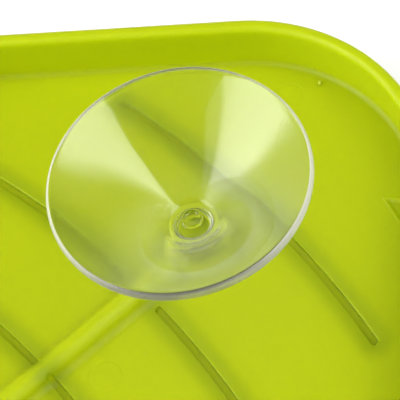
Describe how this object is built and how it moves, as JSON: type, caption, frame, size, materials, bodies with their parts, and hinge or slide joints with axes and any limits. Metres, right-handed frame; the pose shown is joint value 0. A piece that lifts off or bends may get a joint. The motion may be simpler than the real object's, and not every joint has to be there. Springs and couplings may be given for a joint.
{
  "type": "sponge holder",
  "caption": "Leaf-shaped draining dish for a sink sponge, with side ribs, a midrib gutter and spout, held by a clear suction cup behind its round end.",
  "frame": {"origin": "middle of the length and width, in the plane of the front rim that the dish lies on", "axes": "+X along the midrib from the spout to the round end, +Z out of the back, the way the suction cup faces; in use the part is turned over, with the cup down on the sink edge"},
  "size_m": [0.14, 0.1168, 0.0289],
  "materials": {
    "lime_polypropylene": "glossy injection-moulded polypropylene, lime green",
    "clear_pvc": "clear soft PVC, gloss"
  },
  "bodies": {
    "dish": {"dish": "lime_polypropylene"},
    "suction_cup": {"suction_cup": "clear_pvc"}
  },
  "joints": [
    {"name": "cup_turn", "type": "hinge", "parent": "dish", "child": "suction_cup", "pos_m": [0.0306, 0, 0.0118], "axis": [0, 0, 1], "continuous": true}
  ]
}
